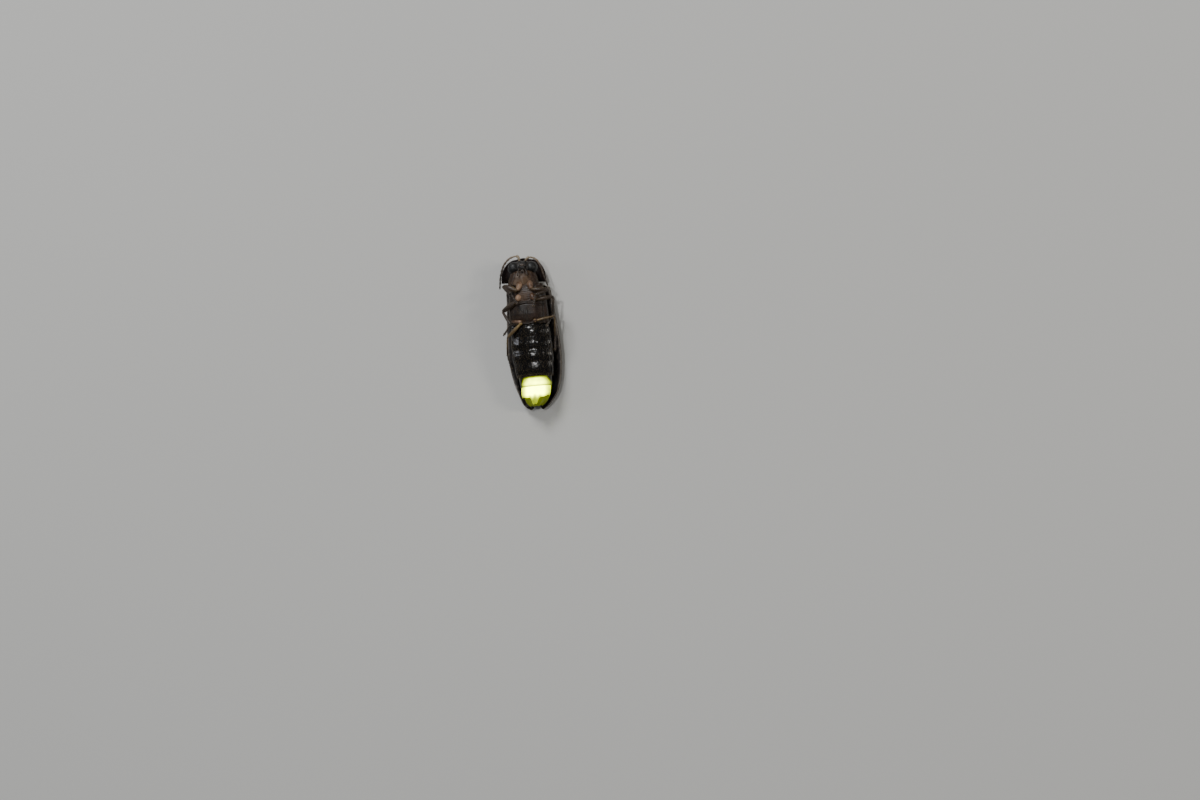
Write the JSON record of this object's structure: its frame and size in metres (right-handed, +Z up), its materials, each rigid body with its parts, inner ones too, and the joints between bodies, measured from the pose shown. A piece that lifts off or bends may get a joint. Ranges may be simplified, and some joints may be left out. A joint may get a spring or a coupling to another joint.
{
  "type": "firefly",
  "caption": "Male firefly, life size, lying on its back with legs folded and the lantern at its tail glowing yellow-green.",
  "frame": {"origin": "under the middle of the insect, on the surface that it lies on", "axes": "+Y towards the head, +Z up, out of the belly, +X to the insect's own left"},
  "size_m": [0.004, 0.0102, 0.0027],
  "materials": {
    "shield": "satin, dark purplish brown horn with a paler flanged rim",
    "head": "satin, nearly black",
    "eye": "glossy, finely faceted",
    "feeler": "satin, pale brown base and darker tip",
    "thorax": "satin, brown with fine hairs",
    "wing_case": "satin, finely pitted, nearly black brown",
    "hind_wing": "smoky membrane",
    "belly": "glossy, black brown",
    "lantern": "satin, glowing yellow-green",
    "tail": "translucent dark brown",
    "hip": "satin, pinkish tan",
    "leg": "satin, greyish brown with fine hairs",
    "foot": "satin, dark brown, with pale pads",
    "hair": "fine pale bristles",
    "membrane": "soft pale skin between the plates"
  },
  "bodies": {
    "root": {"pronotum": "shield", "scutellum": "shield", "head": "head", "eye_left": "eye", "eye_right": "eye", "feeler_left_base": "feeler", "feeler_left_middle": "feeler", "feeler_left_tip": "feeler", "feeler_right_base": "feeler", "feeler_right_middle": "feeler", "feeler_right_tip": "feeler", "prothorax": "thorax", "mesothorax": "thorax", "metathorax": "thorax", "wing_case_left": "wing_case", "wing_case_right": "wing_case", "hind_wing_left": "hind_wing", "hind_wing_right": "hind_wing", "abdomen_segment_2": "belly", "abdomen_segment_3": "belly", "abdomen_segment_4": "belly", "abdomen_segment_5": "belly", "lantern_segment_6": "lantern", "lantern_segment_7": "lantern", "tail_plate": "tail", "coxa_fore_left": "hip", "coxa_fore_right": "hip", "coxa_middle_left": "hip", "coxa_middle_right": "hip", "coxa_hind_left": "hip", "coxa_hind_right": "hip", "femur_fore_left": "leg", "femur_fore_right": "leg", "femur_middle_left": "leg", "femur_middle_right": "leg", "femur_hind_left": "leg", "femur_hind_right": "leg", "tibia_fore_left": "leg", "tibia_fore_right": "leg", "tibia_middle_left": "leg", "tibia_middle_right": "leg", "tibia_hind_left": "leg", "tibia_hind_right": "leg", "tarsus_fore_left": "foot", "tarsus_fore_right": "foot", "tarsus_middle_left": "foot", "tarsus_middle_right": "foot", "tarsus_hind_left": "foot", "tarsus_hind_right": "foot"}
  },
  "joints": []
}
